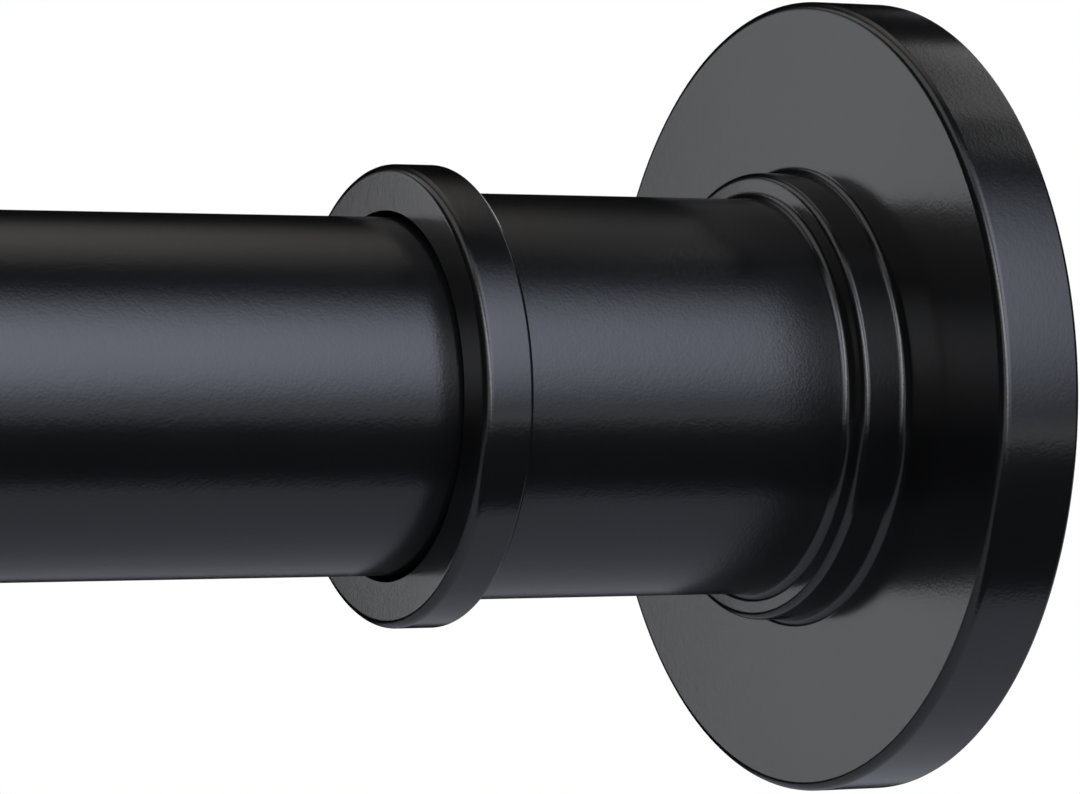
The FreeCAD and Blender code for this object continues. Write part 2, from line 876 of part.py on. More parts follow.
def check_and_write():
    """Refuse a failed feature or a bad solid, then write one file for each piece."""
    doc.recompute()
    for item in doc.Objects:
        if "Invalid" in item.State or "Error" in item.State:
            raise ValueError(f"{item.Label} failed: {item.State}")
    pieces = [
        item for item in doc.Objects
        if item.TypeId in ("PartDesign::Body", "Part::Feature")
    ]
    for piece in pieces:
        if piece.Shape.isNull() or not piece.Shape.isValid():
            raise ValueError(f"{piece.Label} has no valid shape")
        if len(piece.Shape.Solids) != 1:
            raise ValueError(f"{piece.Label} has {len(piece.Shape.Solids)} solids")
    os.makedirs("parts", exist_ok=True)
    for piece in pieces:
        piece.Shape.exportStep(f"parts/{piece.Label}.step")
        print(piece.Label, round(piece.Shape.Volume, 1))


left_end()
inner_tube_group()
lock_sleeve()
cone_nut()
spring_end()
check_and_write()
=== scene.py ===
import json
import math

import bmesh
import bpy
from bpy.props import FloatProperty, FloatVectorProperty, IntProperty, PointerProperty
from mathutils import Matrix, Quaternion, Vector


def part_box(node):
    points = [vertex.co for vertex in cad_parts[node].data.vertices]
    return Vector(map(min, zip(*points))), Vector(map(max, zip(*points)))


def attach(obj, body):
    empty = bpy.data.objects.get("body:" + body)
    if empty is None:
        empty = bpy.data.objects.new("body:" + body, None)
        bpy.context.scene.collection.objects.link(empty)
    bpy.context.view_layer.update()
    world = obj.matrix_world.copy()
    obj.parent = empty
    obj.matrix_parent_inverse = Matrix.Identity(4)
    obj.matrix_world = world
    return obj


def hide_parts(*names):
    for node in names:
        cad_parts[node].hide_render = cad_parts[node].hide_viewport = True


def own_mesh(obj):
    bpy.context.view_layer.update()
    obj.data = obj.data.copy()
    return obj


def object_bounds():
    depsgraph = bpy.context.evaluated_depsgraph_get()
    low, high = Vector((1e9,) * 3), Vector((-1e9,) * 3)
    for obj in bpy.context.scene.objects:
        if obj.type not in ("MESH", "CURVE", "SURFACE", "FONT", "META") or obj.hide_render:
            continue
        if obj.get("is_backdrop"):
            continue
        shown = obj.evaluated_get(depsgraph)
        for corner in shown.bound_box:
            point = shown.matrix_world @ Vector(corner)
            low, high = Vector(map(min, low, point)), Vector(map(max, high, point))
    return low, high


bl_info = {
    "name": "Spring Tension Rod",
    "version": (1, 0, 0),
    "blender": (4, 5, 0),
    "location": "View3D > Sidebar > Tension Rod",
    "description": "Builds the visible pieces, finishes and studio of a spring tension rod",
    "category": "Add Mesh",
}

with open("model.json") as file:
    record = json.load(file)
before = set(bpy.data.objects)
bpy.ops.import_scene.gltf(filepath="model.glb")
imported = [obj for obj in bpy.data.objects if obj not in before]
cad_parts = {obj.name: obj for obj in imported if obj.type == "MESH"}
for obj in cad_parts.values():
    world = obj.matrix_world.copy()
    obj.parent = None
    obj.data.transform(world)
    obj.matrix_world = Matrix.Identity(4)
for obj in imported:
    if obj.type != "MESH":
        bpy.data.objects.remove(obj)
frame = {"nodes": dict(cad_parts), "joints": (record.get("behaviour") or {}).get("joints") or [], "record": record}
SOLIDS_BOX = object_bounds()

# Faces of the two walls, as places on the rod's axis.
WALL_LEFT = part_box("left_pad")[0].x
WALL_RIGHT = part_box("right_pad")[1].x
# Points of a mesh that lie closer than this are one, in metres.
SAME_PLACE = 2e-6
# Play left at the pips' tips and at both ends of the spring, in metres.
END_GAP = 0.0001
# Edges that bend by more than this stay sharp in smooth shading.
SHARP_ANGLE = math.radians(32)
# Weight of the larger faces in smooth shading, of 100.
LARGE_FACE_WEIGHT = 60
QUARTER_TURN = math.radians(90)

PIP_COUNT = 3
PIP_FACETS = 32
PIP_ROUND_STEPS = 3
COIL_TURNS = 12
COIL_FACETS = 40
WIRE_ROUND_STEPS = 3


def length(label, description, metres):
    """A length that a user may change, shown in the scene's units."""
    return FloatProperty(
        name=label, description=description, default=metres, min=0.0, precision=5, unit="LENGTH"
    )


def colour(label, description, value):
    """A colour that a user may change."""
    return FloatVectorProperty(
        name=label, description=description, default=value, min=0.0, max=1.0, size=3,
        subtype="COLOR",
    )


def share(label, description, value, most=1.0):
    """A number without a unit."""
    return FloatProperty(name=label, description=description, default=value, min=0.0, max=most)


class TensionRodSizes(bpy.types.PropertyGroup):
    """Sizes of the visible pieces that their solids' boxes don't tell."""

    facets: IntProperty(
        name="Facets", description="Faces round each turned piece", default=256, min=64, max=512
    )
    round_steps: IntProperty(
        name="Round steps", description="Faces across each rounded edge", default=6, min=2, max=12
    )
    outer_wall: length("Outer tube wall", "Wall of the outer tube and the sleeve", 0.0012)
    inner_wall: length("Inner tube wall", "Wall of the inner tube", 0.001)
    tube_edge: length("Tube edge", "Round on each cut end of a tube", 0.00015)
    hub_radius: length("Hub radius", "Radius of the flange's step", 0.0144)
    hub_height: length("Hub height", "Height of the flange's step over its face", 0.00306)
    hub_edge: length("Hub edge", "Round on the step's front edge", 0.0005)
    hub_fillet: length("Hub fillet", "Hollow round where the step meets the face", 0.00055)
    flange_thickness: length("Flange thickness", "Thickness of the disc", 0.0055)
    flange_edge: length("Flange edge", "Round on the disc's front edge", 0.0006)
    back_edge: length("Back edge", "Round on the back edges of flanges and end rings", 0.00032)
    lip_height: length("Mouth lip height", "Height of the thin lip round the tube", 0.00062)
    lip_wall: length("Mouth lip wall", "Thickness of that lip", 0.00001)
    lip_fillet: length("Mouth fillet", "Hollow round between lip and step", 0.00055)
    socket_gap: length("Socket gap", "Room between tube and socket", 0.00002)
    recess_depth: length("Recess depth", "Depth of the pad's recess", 0.00225)
    recess_gap: length("Recess gap", "Room round the pad", 0.00008)
    socket_floor: length("Socket floor", "Wall between recess and socket", 0.00175)
    screw_hole: length("Screw hole radius", "Radius of the hole in the flange", 0.0023)
    collar_edge: length("End ring edge", "Round on the ring's front edge", 0.00058)
    collar_lip: length("End ring lip", "Thickness of the ring in front of the tube", 0.001)
    collar_hole: length("End ring hole", "Radius of the ring's hole", 0.01149)
    collar_hole_edge: length("End ring hole edge", "Round on the hole's edge", 0.00005)
    pad_proud: length("Pad stands proud", "Height of the pad over the flange's back", 0.00075)
    groove_depth: length("Groove depth", "Depth of the pad's ring grooves", 0.0005)
    groove_width: length("Groove width", "Width of the pad's ring grooves", 0.0016)
    groove_pitch: length("Groove pitch", "Distance from groove to groove", 0.0036)
    groove_first: length("First groove", "Inner radius of the first groove", 0.008)
    groove_edge: length("Groove edge", "Round on the grooves' edges", 0.0002)
    pad_rim: length("Pad rim", "Plain rubber left outside the last groove", 0.001)
    head_room: length("Head room", "Radius of the room for the screw's head", 0.0045)
    head_depth: length("Head room depth", "Depth of that room", 0.0021)
    pip_radius: length("Pip radius", "Radius of the pad's moulded pips", 0.0014)
    pip_height: length("Pip height", "Height of the pips", 0.0015)
    pip_ring: length("Pip ring", "Radius of the ring that the pips stand on", 0.0175)
    wire: length("Wire radius", "Radius of the spring's wire", 0.0009)
    coil: length("Coil radius", "Radius of the spring's centre line", 0.0072)
    closed_pitch: length("Closed pitch", "Pitch of the first and last coil", 0.0019)


class TensionRodFinishes(bpy.types.PropertyGroup):
    """Colours and gloss of the rod's finishes."""

    coat: colour("Coat", "Satin black powder coat of the tubes", (0.0038, 0.0038, 0.0042))
    coat_roughness: share("Coat roughness", "Roughness of the powder coat", 0.23)
    moulding: colour("Moulding", "Satin black of flanges and end rings", (0.0042, 0.0042, 0.0044))
    moulding_roughness: share("Moulding roughness", "Roughness of the mouldings", 0.18)
    coat_grain: share("Tube grain", "Strength of the fine grain of the tubes' coat", 0.17)
    grain: share("Grain", "Strength of the fine grain of the other coated pieces", 0.12)
    rubber: colour("Rubber", "Soft rubber of the wall pads", (0.012, 0.012, 0.0125))
    rubber_roughness: share("Rubber roughness", "Roughness of the wall pads", 0.66)
    nylon: colour("Nylon", "Natural nylon of the plugs", (0.62, 0.61, 0.57))
    nylon_roughness: share("Nylon roughness", "Roughness of the plugs", 0.42)
    dark_nylon: colour("Dark nylon", "Tough nylon of the twist lock", (0.045, 0.045, 0.05))
    dark_nylon_roughness: share("Dark nylon roughness", "Roughness of the twist lock", 0.5)
    zinc: colour("Zinc", "Bright zinc plated steel", (0.62, 0.63, 0.66))
    zinc_roughness: share("Zinc roughness", "Roughness of the plated steel", 0.28)
    zinc_lines: share("Zinc lines", "Turning lines to the metre", 2400.0, 10000.0)
    spring_steel: colour("Spring steel", "Oiled spring steel", (0.3, 0.3, 0.32))
    spring_roughness: share("Spring roughness", "Roughness of the spring steel", 0.32)
    spring_lines: share("Spring lines", "Drawing lines to the metre", 500.0, 10000.0)


class TensionRodStudio(bpy.types.PropertyGroup):
    """Floor, lights and background."""

    floor_depth: length("Floor depth", "Distance from the rod's axis down to the floor", 0.15)
    floor_colour: colour("Floor", "Pale floor", (0.63, 0.65, 0.69))
    ambient: share("Ambient", "Strength of the sky on matt surfaces", 0.35)
    key: share("Key", "Brightness of the large soft light in front on the right", 4.3, 20.0)
    front: share("Front", "Brightness of the soft light in front on the left", 5.9, 20.0)
    top: share("Top", "Brightness of the weak warm light above", 0.7, 20.0)
    rear: share("Rear", "Brightness of the light behind on the left", 1.55, 20.0)
    back: share("Back", "Brightness of the light behind on the right", 3.5, 20.0)


def rod_sizes():
    """The sizes that the scene holds."""
    return bpy.context.scene.tension_rod_sizes


def rod_finishes():
    """The finishes that the scene holds."""
    return bpy.context.scene.tension_rod_finishes


def rod_studio():
    """The studio's settings that the scene holds."""
    return bpy.context.scene.tension_rod_studio


class Wire:
    """One output of a node, on which plain arithmetic adds Math nodes."""

    def __init__(self, nodes, socket):
        self.nodes = nodes
        self.socket = socket

    def maths(self, operation, first, second=0.0):
        return self.nodes.add("ShaderNodeMath", {"operation": operation}, {0: first, 1: second})

    def __add__(self, other):
        return self.maths("ADD", self, other)

    def __sub__(self, other):
        return self.maths("SUBTRACT", self, other)

    def __rsub__(self, other):
        return self.maths("SUBTRACT", other, self)

    def __mul__(self, other):
        return self.maths("MULTIPLY", self, other)

    def __abs__(self):
        return self.maths("ABSOLUTE", self)

    def at_least(self, other):
        """The larger of two values."""
        return self.maths("MAXIMUM", self, other)

    __radd__ = __add__
    __rmul__ = __mul__


class Nodes:
    """The node tree of one material or of the background."""

    def __init__(self, tree):
        self.tree = tree
        self.tree.nodes.clear()

    def add(self, kind, settings=None, sockets=None, output=0):
        """Add a node, make its settings, then fill or link its sockets."""
        node = self.tree.nodes.new(kind)
        for name, value in (settings or {}).items():
            setattr(node, name, value)
        for name, value in (sockets or {}).items():
            if isinstance(value, Wire):
                self.tree.links.new(value.socket, node.inputs[name])
            else:
                node.inputs[name].default_value = value
        return Wire(self, node.outputs[output]) if node.outputs else None

    def place(self):
        """The place on the object, in metres."""
        return self.add("ShaderNodeTexCoord", output="Object")

    def noise(self, scale, detail=2.0, vector=None):
        """Soft noise with this many features to the metre."""
        sockets = {"Vector": vector or self.place(), "Scale": scale, "Detail": detail}
        return self.add("ShaderNodeTexNoise", None, sockets)

    def stretched(self, scale):
        """The place on the object, squeezed along each axis."""
        return self.add("ShaderNodeMapping", None, {"Vector": self.place(), "Scale": scale})

    def blend(self, share, first, second):
        """A colour between two colours."""
        return self.add(
            "ShaderNodeMix", {"data_type": "RGBA"}, {0: share, 6: first, 7: second}, output=2
        )

    def smooth(self, value, start, end):
        """0 up to the start and 1 from the end on, with a soft step between."""
        return self.add(
            "ShaderNodeMapRange",
            {"interpolation_type": "SMOOTHSTEP"},
            {"Value": value, "From Min": start, "From Max": end},
        )

    def bump(self, height, strength, depth):
        """Small hills and hollows in the surface, of this depth in metres."""
        return self.add(
            "ShaderNodeBump", None, {"Strength": strength, "Distance": depth, "Height": height}
        )


def tone(rgb, factor=1.0):
    """A colour property as four numbers, darker or lighter by a factor."""
    return tuple(min(1.0, part * factor) for part in rgb) + (1.0,)


def around(middle, *parts):
    """A value that noises move to both sides of its middle, each over its own width."""
    for noise, width in parts:
        middle = middle + (noise - 0.5) * width
    return middle


def new_material(name, surface):
    """A material whose surface comes from the caller's function."""
    material = bpy.data.materials.new(name)
    material.use_nodes = True
    nodes = Nodes(material.node_tree)
    nodes.add("ShaderNodeOutputMaterial", None, {"Surface": surface(nodes)})
    return material


def satin_black(name, rgb, roughness, grain):
    """Satin black coat with an orange peel grain."""

    def surface(nodes):
        fine = nodes.noise(5200.0)
        peel = nodes.noise(1500.0, detail=1.0)
        cloud = nodes.noise(90.0)
        bump = nodes.bump(fine * 0.6 + peel * 0.4, strength=grain, depth=0.00008)
        return nodes.add("ShaderNodeBsdfPrincipled", None, {
            "Base Color": nodes.blend(cloud, tone(rgb, 0.85), tone(rgb, 1.15)),
            "Roughness": around(roughness, (fine, 0.05), (cloud, 0.03)),
            "IOR": 1.5,
            "Normal": bump,
        })

    return new_material(name, surface)


def soft_rubber(name, rgb, roughness):
    """Matt rubber with a fine moulded grain and a trace of dust."""

    def surface(nodes):
        fine = nodes.noise(3800.0, detail=3.0)
        dust = nodes.smooth(nodes.noise(240.0, detail=4.0), 0.5, 0.75)
        bump = nodes.bump(fine, strength=0.25, depth=0.00006)
        return nodes.add("ShaderNodeBsdfPrincipled", None, {
            "Base Color": nodes.blend(dust * 0.5, tone(rgb), tone(rgb, 2.2)),
            "Roughness": around(roughness, (fine, 0.12)) + dust * 0.08,
            "Normal": bump,
        })

    return new_material(name, surface)


def moulded_nylon(name, rgb, roughness):
    """Nylon with a faint flow pattern and a soft moulded grain."""

    def surface(nodes):
        flow = nodes.noise(1.0, detail=3.0, vector=nodes.stretched((60.0, 260.0, 260.0)))
        fine = nodes.noise(2600.0)
        bump = nodes.bump(fine, strength=0.2, depth=0.00005)
        return nodes.add("ShaderNodeBsdfPrincipled", None, {
            "Base Color": nodes.blend(flow, tone(rgb, 0.88), tone(rgb, 1.06)),
            "Roughness": around(roughness, (flow, 0.1)),
            "Normal": bump,
        })

    return new_material(name, surface)


def plated_steel(name, rgb, roughness, lines):
    """Steel with fine lines round the axis where it was turned or drawn."""

    def surface(nodes):
        turning = nodes.noise(1.0, vector=nodes.stretched((lines, 40.0, 40.0)))
        stain = nodes.noise(130.0, detail=3.0)
        bump = nodes.bump(turning, strength=0.15, depth=0.00003)
        return nodes.add("ShaderNodeBsdfPrincipled", None, {
            "Base Color": nodes.blend(stain, tone(rgb, 0.86), tone(rgb, 1.1)),
            "Metallic": 1.0,
            "Roughness": around(roughness, (turning, 0.14), (stain, 0.1)),
            "Normal": bump,
        })

    return new_material(name, surface)


def finish_for(slot):
    """The material of a slot, made the first time it is asked for."""
    look = rod_finishes()
    name, make, *values = {
        "tube_coat": (
            "satin_powder_coat", satin_black, look.coat, look.coat_roughness, look.coat_grain,
        ),
        "flange_coat": (
            "satin_moulding", satin_black, look.moulding, look.moulding_roughness, look.grain,
        ),
        "pad_rubber": ("soft_rubber", soft_rubber, look.rubber, look.rubber_roughness),
        "plug_plastic": ("natural_nylon", moulded_nylon, look.nylon, look.nylon_roughness),
        "lock_plastic": (
            "dark_nylon", moulded_nylon, look.dark_nylon, look.dark_nylon_roughness,
        ),
        "zinc_steel": (
            "zinc_plated_steel", plated_steel, look.zinc, look.zinc_roughness, look.zinc_lines,
        ),
        "spring_steel": (
            "spring_steel_wire", plated_steel,
            look.spring_steel, look.spring_roughness, look.spring_lines,
        ),
    }[slot]
    return bpy.data.materials.get(name) or make(name, *values)


def object_mode():
    """Leave edit mode and deselect everything."""
    if bpy.context.mode != "OBJECT":
        bpy.ops.object.mode_set(mode="OBJECT")
    bpy.ops.object.select_all(action="DESELECT")


def make_active(piece):
    """Select this object alone."""
    object_mode()
    piece.select_set(True)
    bpy.context.view_layer.objects.active = piece


def first_point(name, at):
    """A new object of a single point, left in edit mode with the point selected."""
    object_mode()
    bpy.ops.mesh.primitive_plane_add(size=0.001)
    piece = bpy.context.object
    piece.name = name
    piece.data.name = name
    bpy.ops.object.mode_set(mode="EDIT")
    bpy.ops.mesh.select_mode(type="VERT")
    bpy.ops.mesh.select_all(action="SELECT")
    bpy.ops.mesh.merge(type="CENTER")
    bpy.ops.transform.translate(value=at)
    return piece


def turn_outline(name, corners, closed=True):
    """Draw a half section point by point and spin it round the rod's axis."""
    points = [Vector((along, 0.0, out)) for along, out in corners]
    piece = first_point(name, points[0])
    for before, after in zip(points, points[1:]):
        bpy.ops.mesh.extrude_region_move(TRANSFORM_OT_translate={"value": after - before})
    if closed:
        ends = (points[0], points[-1])
        shape = bmesh.from_edit_mesh(piece.data)
        for vertex in shape.verts:
            vertex.select_set(any((vertex.co - end).length < SAME_PLACE for end in ends))
        bmesh.update_edit_mesh(piece.data)
        bpy.ops.mesh.edge_face_add()
    bpy.ops.mesh.select_all(action="SELECT")
    bpy.ops.mesh.spin(
        steps=rod_sizes().facets, angle=math.tau, center=(0, 0, 0), axis=(1, 0, 0)
    )
    bpy.ops.mesh.select_all(action="SELECT")
    bpy.ops.mesh.remove_doubles(threshold=SAME_PLACE)
    bpy.ops.mesh.normals_make_consistent(inside=False)
    return piece


def round_rings(piece, rings, width):
    """Round the edges that run round the axis at these places."""
    bpy.ops.mesh.select_mode(type="EDGE")
    bpy.ops.mesh.select_all(action="DESELECT")
    shape = bmesh.from_edit_mesh(piece.data)
    for edge in shape.edges:
        ends = [(end.co.x, math.hypot(end.co.y, end.co.z)) for end in edge.verts]
        for along, out in rings:
            if all(abs(x - along) < SAME_PLACE and abs(r - out) < SAME_PLACE for x, r in ends):
                edge.select_set(True)
    bmesh.update_edit_mesh(piece.data)
    bpy.ops.mesh.bevel(
        offset_type="OFFSET", offset=width, segments=rod_sizes().round_steps, profile=0.5,
        affect="EDGES",
    )


def apply_modifier(piece, kind, **settings):
    """Add a modifier, make its settings and apply it."""
    make_active(piece)
    modifier = piece.modifiers.new(kind.title(), kind)
    for name, value in settings.items():
        setattr(modifier, name, value)
    bpy.ops.object.modifier_apply(modifier=modifier.name)


def smooth_finish(piece):
    """Smooth shading that keeps flat faces flat and sharp corners sharp."""
    make_active(piece)
    bpy.ops.object.shade_smooth_by_angle(angle=SHARP_ANGLE)
    apply_modifier(piece, "WEIGHTED_NORMAL", keep_sharp=True, weight=LARGE_FACE_WEIGHT)


def dress(piece, body, slot, *nodes):
    """Give a new piece its finish and its body, and hide the solids that it stands for."""
    piece.data.materials.clear()
    piece.data.materials.append(finish_for(slot))
    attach(piece, body)
    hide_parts(*nodes)


def from_wall(side, along):
    """The place on the rod's axis at this distance from one wall face."""
    return WALL_LEFT + along if side == "left" else WALL_RIGHT - along


def corner_from_wall(side):
    """A function that makes a corner from a distance to one wall face and a radius."""
    return lambda along, out: (from_wall(side, along), out)


def body_of_side(side):
    """The body that the flange, ring and pad of one side belong to."""
    return "outer_tube_end" if side == "left" else "spring_end"


def pip_cylinders(side, along, radius, height):
    """Make, one after the other, the cylinders of the pips, centred on a plane across the rod."""
    ring = rod_sizes().pip_ring
    for number in range(PIP_COUNT):
        angle = math.radians(90 + 360 / PIP_COUNT * number)
        object_mode()
        bpy.ops.mesh.primitive_cylinder_add(
            vertices=PIP_FACETS,
            radius=radius,
            depth=2 * height,
            location=(from_wall(side, along), ring * math.cos(angle), ring * math.sin(angle)),
            rotation=(0, QUARTER_TURN, 0),
        )
        yield bpy.context.object


def combine(piece, shape, operation):
    """Join a shape to a piece or cut it out, and remove the shape."""
    apply_modifier(piece, "BOOLEAN", operation=operation, solver="EXACT", object=shape)
    bpy.data.objects.remove(shape)


class TENSION_ROD_OT_tubes(bpy.types.Operator):
    """Turn the outer tube, the sleeve of the spring end and the inner tube"""

    bl_idname = "tension_rod.tubes"
    bl_label = "Tubes"

    def execute(self, context):
        sizes = rod_sizes()
        for name, node, wall, body in (
            ("long_outer_tube", "outer_tube", sizes.outer_wall, "outer_tube_end"),
            ("short_end_sleeve", "spring_sleeve", sizes.outer_wall, "spring_end"),
            ("sliding_inner_tube", "inner_tube", sizes.inner_wall, "inner_rod"),
        ):
            low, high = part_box(node)
            bore = high.z - wall
            rings = [(low.x, bore), (low.x, high.z), (high.x, high.z), (high.x, bore)]
            piece = turn_outline(name, rings)
            round_rings(piece, rings, sizes.tube_edge)
            smooth_finish(piece)
            dress(piece, body, "tube_coat", node)
        return {"FINISHED"}


class TENSION_ROD_OT_flanges(bpy.types.Operator):
    """Turn both flanges, with step, mouth lip, socket, pad recess and pip holes"""

    bl_idname = "tension_rod.flanges"
    bl_label = "Flanges"

    def execute(self, context):
        sizes = rod_sizes()
        back = sizes.pad_proud
        face = back + sizes.flange_thickness
        hub_face = face + sizes.hub_height
        lip_top = hub_face + sizes.lip_height
        recess_floor = back + sizes.recess_depth
        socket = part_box("outer_tube")[1].z + sizes.socket_gap
        socket_bottom = recess_floor + sizes.socket_floor
        lip_outside = socket + sizes.lip_wall
        for side in ("left", "right"):
            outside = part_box(f"{side}_flange")[1].z
            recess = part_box(f"{side}_pad")[1].z + sizes.recess_gap
            at = corner_from_wall(side)
            piece = turn_outline(f"{side}_wall_flange", [
                at(back, recess),
                at(back, outside),
                at(face, outside),
                at(face, sizes.hub_radius),
                at(hub_face, sizes.hub_radius),
                at(hub_face, lip_outside),
                at(lip_top, lip_outside),
                at(lip_top, socket),
                at(socket_bottom, socket),
                at(socket_bottom, sizes.screw_hole),
                at(recess_floor, sizes.screw_hole),
                at(recess_floor, recess),
            ])
            for rings, width in (
                ([at(hub_face, lip_outside)], sizes.lip_fillet),
                ([at(face, sizes.hub_radius)], sizes.hub_fillet),
                ([at(hub_face, sizes.hub_radius)], sizes.hub_edge),
                ([at(face, outside)], sizes.flange_edge),
                ([at(back, outside), at(back, recess)], sizes.back_edge),
            ):
                round_rings(piece, rings, width)
            hole_radius = sizes.pip_radius + sizes.socket_gap
            hole_depth = sizes.pip_height + END_GAP
            for hole in pip_cylinders(side, recess_floor, hole_radius, hole_depth):
                combine(piece, hole, "DIFFERENCE")
            smooth_finish(piece)
            dress(piece, body_of_side(side), "flange_coat", f"{side}_flange")
        return {"FINISHED"}


class TENSION_ROD_OT_end_rings(bpy.types.Operator):
    """Turn the end ring on each thick tube's mouth"""

    bl_idname = "tension_rod.end_rings"
    bl_label = "End rings"

    def execute(self, context):
        sizes = rod_sizes()
        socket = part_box("outer_tube")[1].z + sizes.socket_gap
        for side in ("left", "right"):
            low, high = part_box(f"{side}_collar")
            front, back = (high.x, low.x) if side == "left" else (low.x, high.x)
            inwards = math.copysign(1.0, back - front)
            seat = front + inwards * sizes.collar_lip
            piece = turn_outline(f"{side}_end_ring", [
                (back, socket),
                (back, high.z),
                (front, high.z),
                (front, sizes.collar_hole),
                (seat, sizes.collar_hole),
                (seat, socket),
            ])
            for ring, width in (
                ((front, high.z), sizes.collar_edge),
                ((front, sizes.collar_hole), sizes.collar_hole_edge),
                ((back, high.z), sizes.back_edge),
            ):
                round_rings(piece, [ring], width)
            smooth_finish(piece)
            dress(piece, body_of_side(side), "flange_coat", f"{side}_collar")
        return {"FINISHED"}


class TENSION_ROD_OT_pads(bpy.types.Operator):
    """Turn the rubber pads with their ring grooves and moulded pips"""

    bl_idname = "tension_rod.pads"
    bl_label = "Rubber pads"

    def execute(self, context):
        sizes = rod_sizes()
        inner_face = sizes.pad_proud + sizes.recess_depth
        room = inner_face - sizes.head_depth
        for side in ("left", "right"):
            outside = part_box(f"{side}_pad")[1].z
            at = corner_from_wall(side)
            corners = [at(0, 0)]
            soft = []
            groove = sizes.groove_first
            while groove + sizes.groove_width < outside - sizes.pad_rim:
                outer = groove + sizes.groove_width
                corners += [at(0, groove), at(sizes.groove_depth, groove)]
                corners += [at(sizes.groove_depth, outer), at(0, outer)]
                soft += [at(0, groove), at(0, outer)]
                groove += sizes.groove_pitch
            corners += [at(0, outside), at(inner_face, outside), at(inner_face, sizes.head_room)]
            corners += [at(room, sizes.head_room), at(room, 0)]
            piece = turn_outline(f"{side}_rubber_pad", corners, closed=False)
            round_rings(piece, soft + [at(0, outside)], sizes.groove_edge)
            for pip in pip_cylinders(side, inner_face, sizes.pip_radius, sizes.pip_height):
                apply_modifier(
                    pip, "BEVEL",
                    width=sizes.groove_edge, segments=PIP_ROUND_STEPS, limit_method="ANGLE",
                )
                combine(piece, pip, "UNION")
            smooth_finish(piece)
            dress(piece, body_of_side(side), "pad_rubber", f"{side}_pad")
        return {"FINISHED"}


class TENSION_ROD_OT_spring(bpy.types.Operator):
    """Wind the compression spring with a closed coil at each end"""

    bl_idname = "tension_rod.spring"
    bl_label = "Coil spring"

    def execute(self, context):
        sizes = rod_sizes()
        low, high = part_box("coil_spring")
        start, end = high.x - sizes.wire, low.x + sizes.wire
        closed_pitch = sizes.closed_pitch
        open_pitch = (start - end - 2 * closed_pitch) / (COIL_TURNS - 2)
        last_turn = start - open_pitch * (COIL_TURNS - 1) + open_pitch - closed_pitch
        piece = first_point("compression_coil", (start, 0, sizes.coil))
        apply_modifier(
            piece, "SCREW", axis="X", angle=-math.tau, steps=COIL_FACETS,
            render_steps=COIL_FACETS, iterations=COIL_TURNS, screw_offset=-open_pitch,
            use_merge_vertices=False,
        )
        for top in (start, last_turn):
            self.close_coil(piece, top, open_pitch, closed_pitch)
        make_active(piece)
        bpy.ops.object.convert(target="CURVE")
        wire = bpy.context.object
        wire.data.bevel_depth = sizes.wire
        wire.data.bevel_resolution = WIRE_ROUND_STEPS
        wire.data.use_fill_caps = True
        bpy.ops.object.convert(target="MESH")
        coil = bpy.context.object
        bpy.ops.object.mode_set(mode="EDIT")
        bpy.ops.mesh.select_all(action="SELECT")
        bpy.ops.mesh.remove_doubles(threshold=SAME_PLACE)
        bpy.ops.mesh.normals_make_consistent(inside=False)
        smooth_finish(coil)
        dress(coil, "inner_rod", "spring_steel", "coil_spring")
        travel = next(j for j in frame["joints"] if j["name"] == "spring_travel")["range_m"][1]
        fixed = low.x - END_GAP
        whole = high.x + END_GAP - fixed
        (whole - travel) / whole
        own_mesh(coil)
        return {"FINISHED"}

    def close_coil(self, piece, top, open_pitch, closed_pitch):
        """Flatten the turn that starts at this place and move what follows up to it."""
        make_active(piece)
        bpy.ops.object.mode_set(mode="EDIT")
        bpy.ops.mesh.select_mode(type="VERT")
        for inside_turn in (False, True):
            shape = bmesh.from_edit_mesh(piece.data)
            for vertex in shape.verts:
                depth = top - vertex.co.x
                in_turn = -SAME_PLACE < depth < open_pitch - SAME_PLACE
                after = depth >= open_pitch - SAME_PLACE
                vertex.select_set(in_turn if inside_turn else after)
            bmesh.update_edit_mesh(piece.data)
            if inside_turn:
                bpy.ops.transform.resize(
                    value=(closed_pitch / open_pitch, 1, 1), center_override=(top, 0, 0)
                )
            else:
                bpy.ops.transform.translate(value=(open_pitch - closed_pitch, 0, 0))
            bpy.ops.mesh.select_all(action="DESELECT")


class TENSION_ROD_OT_fittings(bpy.types.Operator):
    """Give every solid of the part the finish of its slot"""

    bl_idname = "tension_rod.fittings"
    bl_label = "Inner fittings"

    def execute(self, context):
        for part in frame["record"]["subparts"]:
            slot = part["material_slot"]
            solid = frame["nodes"][part["node"]]
            solid.data.materials.clear()
            solid.data.materials.append(finish_for(slot))
        return {"FINISHED"}


def seen_directly(nodes):
    """1 for rays from the camera and for mirrored or refracted ones, otherwise 0."""
    kinds = [
        nodes.add("ShaderNodeLightPath", output=kind)
        for kind in ("Is Camera Ray", "Is Glossy Ray", "Is Transmission Ray")
    ]
    return kinds[0].at_least(kinds[1]).at_least(kinds[2])


def put_on_stage(board, name, material, lit):
    """Hide a board from the camera; one that isn't lit shows only in the object's gloss."""
    board.name = name
    board.data.materials.append(material)
    board.visible_camera = False
    if not lit:
        board.visible_diffuse = False
        board.visible_shadow = False
        board.visible_transmission = False
    board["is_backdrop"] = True


def card(name, at, facing, width, height, material, lit):
    """A board at one place that faces another."""
    object_mode()
    bpy.ops.mesh.primitive_plane_add(size=2.0, location=at)
    board = bpy.context.object
    board.rotation_mode = "QUATERNION"
    board.rotation_quaternion = (Vector(facing) - Vector(at)).to_track_quat("Z", "Y")
    board.scale = (width / 2, height / 2, 1.0)
    put_on_stage(board, name, material, lit)
    return board


